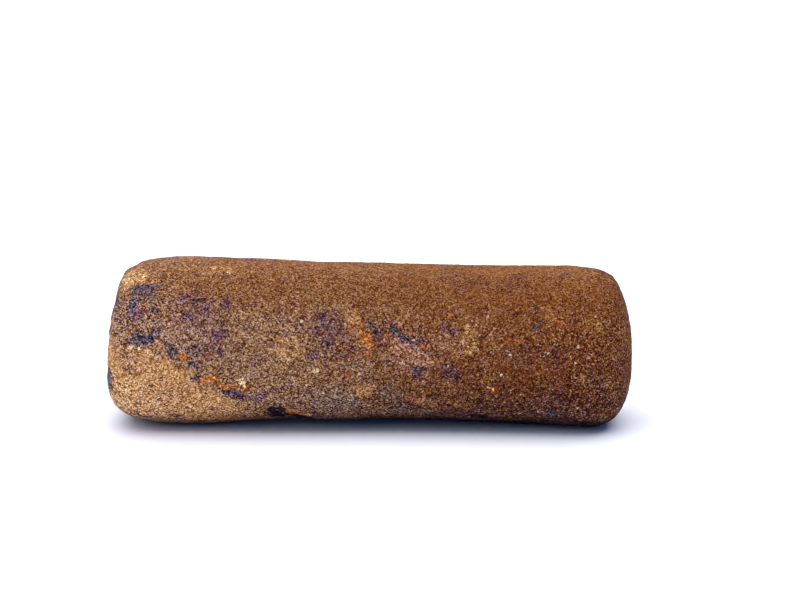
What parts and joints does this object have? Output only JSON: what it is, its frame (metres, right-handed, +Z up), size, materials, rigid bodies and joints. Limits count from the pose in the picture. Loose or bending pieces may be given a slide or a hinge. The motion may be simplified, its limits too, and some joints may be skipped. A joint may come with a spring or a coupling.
{
  "type": "handstone",
  "caption": "Bar-shaped grinding handstone, slightly waisted with full rounded ends, that lies on its side on two small worn flats.",
  "frame": {"origin": "on the ground under the middle of the stone's box, so the stone stands on z = 0", "axes": "+X along the stone from the taller end to the lower end, -Y the side seen first, +Z up"},
  "size_m": [0.2364, 0.0782, 0.0748],
  "materials": {
    "stone": "pecked and worn, matt, with rust brown patina"
  },
  "bodies": {
    "root": {"handstone": "stone"}
  },
  "joints": []
}
